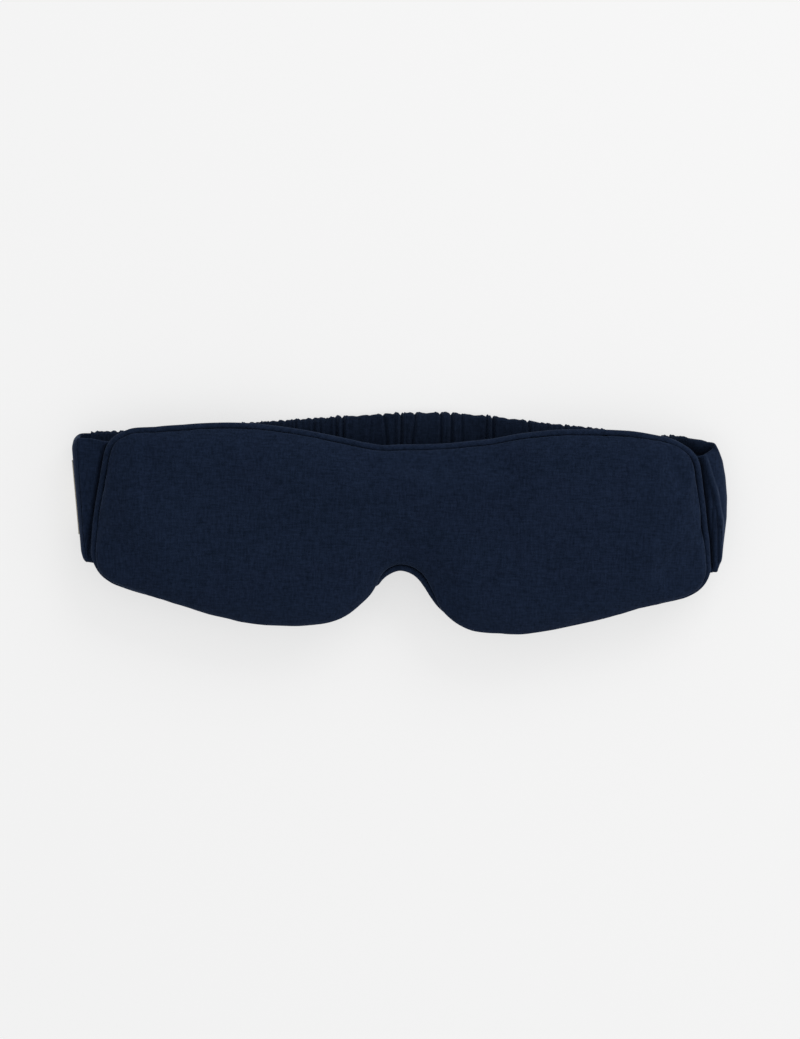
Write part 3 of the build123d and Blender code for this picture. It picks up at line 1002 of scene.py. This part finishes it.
def on_casing(x, y_from_middle, top):
    """A place on the casing's face, a little proud of it."""
    i = ring_near(y_from_middle / (CASING_WIDTH / 2), top)
    spot = casing_surface([x], np.array([i]))[0, 0]
    spot[1] = strap_middle(np.array([x]))[0] + y_from_middle
    spot[2] += 0.05 if top else 0.03
    return spot


JOIN_ROWS = (114.0, 116.6)
JOIN_COUNT = 11
JOIN_PITCH = 3.6
JOIN_REACH = 1.1                  # half of a join stitch's length
HEM = 1.3                         # of the casing's seam, from its lower edge


def join_stitch_lines(side):
    """Two rows of stitches across the casing's end, on both of its faces."""
    lines = []
    for row in JOIN_ROWS:
        for i in range(JOIN_COUNT):
            middle = (i - JOIN_COUNT // 2) * JOIN_PITCH
            ends = (middle - JOIN_REACH, middle, middle + JOIN_REACH)
            for top in (True, False):
                lines.append([on_casing(side * row, spot, top) for spot in ends])
    return lines


def seam_stitch_lines(side):
    """Running stitches along the casing's lower edge, on its half."""
    lines = []
    level = -CASING_WIDTH / 2 + HEM
    x = SPLIT + side * 1.8
    while abs(x) < CASING_END - 7:
        lines.append([on_casing(x + side * d, level, True) for d in (0, 0.5, 1.1, 1.6, 2.2)])
        x += side * STITCH_PITCH
    return lines


for strap_side in (-1, 1):
    casing = casing_half(strap_side)
    elastic = elastic_half(strap_side)
    side_name = NAMES[strap_side]
    join = stitch_mesh(f"{side_name}_join_threads", join_stitch_lines(strap_side), THREAD,
                       thread_navy)
    seam = stitch_mesh(f"{side_name}_casing_threads", seam_stitch_lines(strap_side), THREAD,
                       thread_navy)
    for strap_piece in (casing, elastic, join, seam):
        bend_with_strap(strap_piece)
    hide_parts("strap_casing")
    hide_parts("strap_elastic")
    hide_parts(f"{side_name}_join_stitches")
    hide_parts("casing_seam_stitches")

# ---- studio -------------------------------------------------------------------------

FLOOR_DROP = 0.15                 # the floor's gap under the frame's zero, in millimetres
FLOOR_SIZE = 3000.0               # from the middle to each side
CAMERA_TILT = math.radians(8.0)   # seen from a little above the mask's upper edge
CAMERA_ROLL = math.radians(1.3)
CAMERA_AWAY = 1.2
VIEW_WIDTH = 0.3098               # what the picture's width spans at the mask
AIM = Vector((-0.0004, 0.0010, 0.012))


def make_floor():
    corners = FLOOR_SIZE * np.array([(-1, -1, 0), (1, -1, 0), (1, 1, 0), (-1, 1, 0)])
    paper = bpy.data.materials.new("paper")
    paper.use_nodes = True
    shader = paper.node_tree.nodes["Principled BSDF"]
    shader.inputs["Base Color"].default_value = (0.30, 0.30, 0.30, 1)
    shader.inputs["Emission Color"].default_value = (1.0, 1.0, 1.0, 1)
    shader.inputs["Emission Strength"].default_value = 0.62
    shader.inputs["Roughness"].default_value = 0.9
    shader.inputs["Specular IOR Level"].default_value = 0.1
    floor = make_mesh("floor", corners - (0, 0, FLOOR_DROP), [[0, 1, 2, 3]], paper, levels=0)


def add_area_light(name, place, size, power):
    """A soft square light that faces the object."""
    lamp = bpy.data.lights.new(name, "AREA")
    lamp.shape = "RECTANGLE"
    lamp.size, lamp.size_y = size
    lamp.energy = power
    holder = bpy.data.objects.new(name, lamp)
    holder.location = place
    holder.rotation_euler = (-Vector(place)).to_track_quat("-Z", "Y").to_euler()
    bpy.context.scene.collection.objects.link(holder)


def light_studio():
    add_area_light("key_light", (0.7, 1.3, 0.8), (1.2, 0.7), 10.5)
    add_area_light("side_light", (1.6, -0.1, 0.5), (0.8, 0.8), 6.0)
    world = bpy.data.worlds.new("studio")
    world.use_nodes = True
    backdrop = world.node_tree.nodes["Background"]
    backdrop.inputs["Color"].default_value = (1.0, 1.0, 1.0, 1)
    backdrop.inputs["Strength"].default_value = 0.72
    bpy.context.scene.world = world
    bpy.context.scene.view_settings.view_transform = "Standard"


def add_camera():
    lens = bpy.data.cameras.new("camera")
    lens.sensor_fit = "HORIZONTAL"
    lens.lens = lens.sensor_width * CAMERA_AWAY / VIEW_WIDTH
    lens.clip_end = 20
    toward = Vector((0, -math.sin(CAMERA_TILT), -math.cos(CAMERA_TILT)))
    above = Vector((-math.sin(CAMERA_ROLL), math.cos(CAMERA_ROLL), 0))
    right = toward.cross(above).normalized()
    turn = Matrix((right, right.cross(toward), -toward)).transposed().to_4x4()
    holder = bpy.data.objects.new("camera", lens)
    holder.matrix_world = Matrix.Translation(AIM - toward * CAMERA_AWAY) @ turn
    bpy.context.scene.collection.objects.link(holder)
    bpy.context.scene.camera = holder


make_floor()
light_studio()
add_camera()
